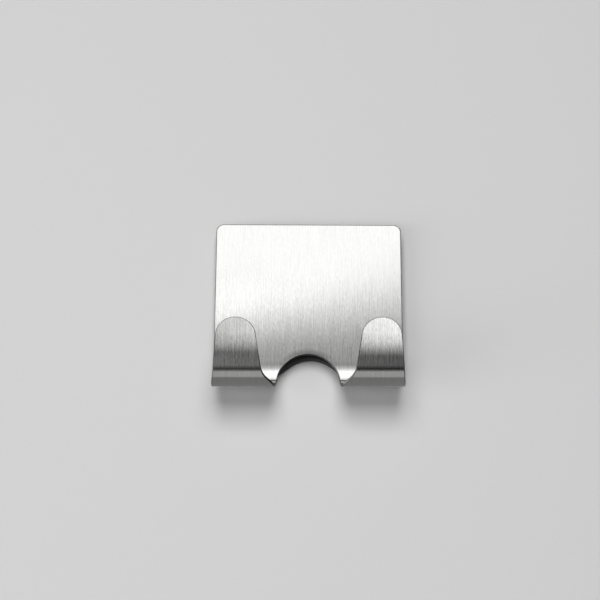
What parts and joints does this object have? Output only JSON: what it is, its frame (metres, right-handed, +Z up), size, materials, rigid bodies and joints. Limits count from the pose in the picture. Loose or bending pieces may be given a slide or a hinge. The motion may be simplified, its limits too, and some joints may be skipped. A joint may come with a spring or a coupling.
{
  "type": "magnetic hook",
  "caption": "Wall hook bent from one brushed stainless sheet, with round-ended tongues either side of an arch, held to steel by a rubber-covered magnet pad.",
  "frame": {"origin": "middle of the magnets, on the rubber face that sits on the wall", "axes": "+Z up along the wall, +Y into the wall, the hook's front faces -Y, +X to the right seen from the front"},
  "size_m": [0.05, 0.0256, 0.0497],
  "materials": {
    "stainless_sheet": "fine upright hairline brushing, satin",
    "foam_tape": "dark grey closed-cell foam, matte",
    "yoke_steel": "zinc plated, satin",
    "magnet_plating": "nickel plated, semi-bright",
    "jacket_rubber": "moulded black rubber, fine matte grain"
  },
  "bodies": {
    "root": {"hook_plate": "stainless_sheet", "foam_tape": "foam_tape", "yoke_plate": "yoke_steel", "magnet_upper_left": "magnet_plating", "magnet_upper_right": "magnet_plating", "magnet_lower_left": "magnet_plating", "magnet_lower_right": "magnet_plating", "rubber_jacket": "jacket_rubber"}
  },
  "joints": []
}
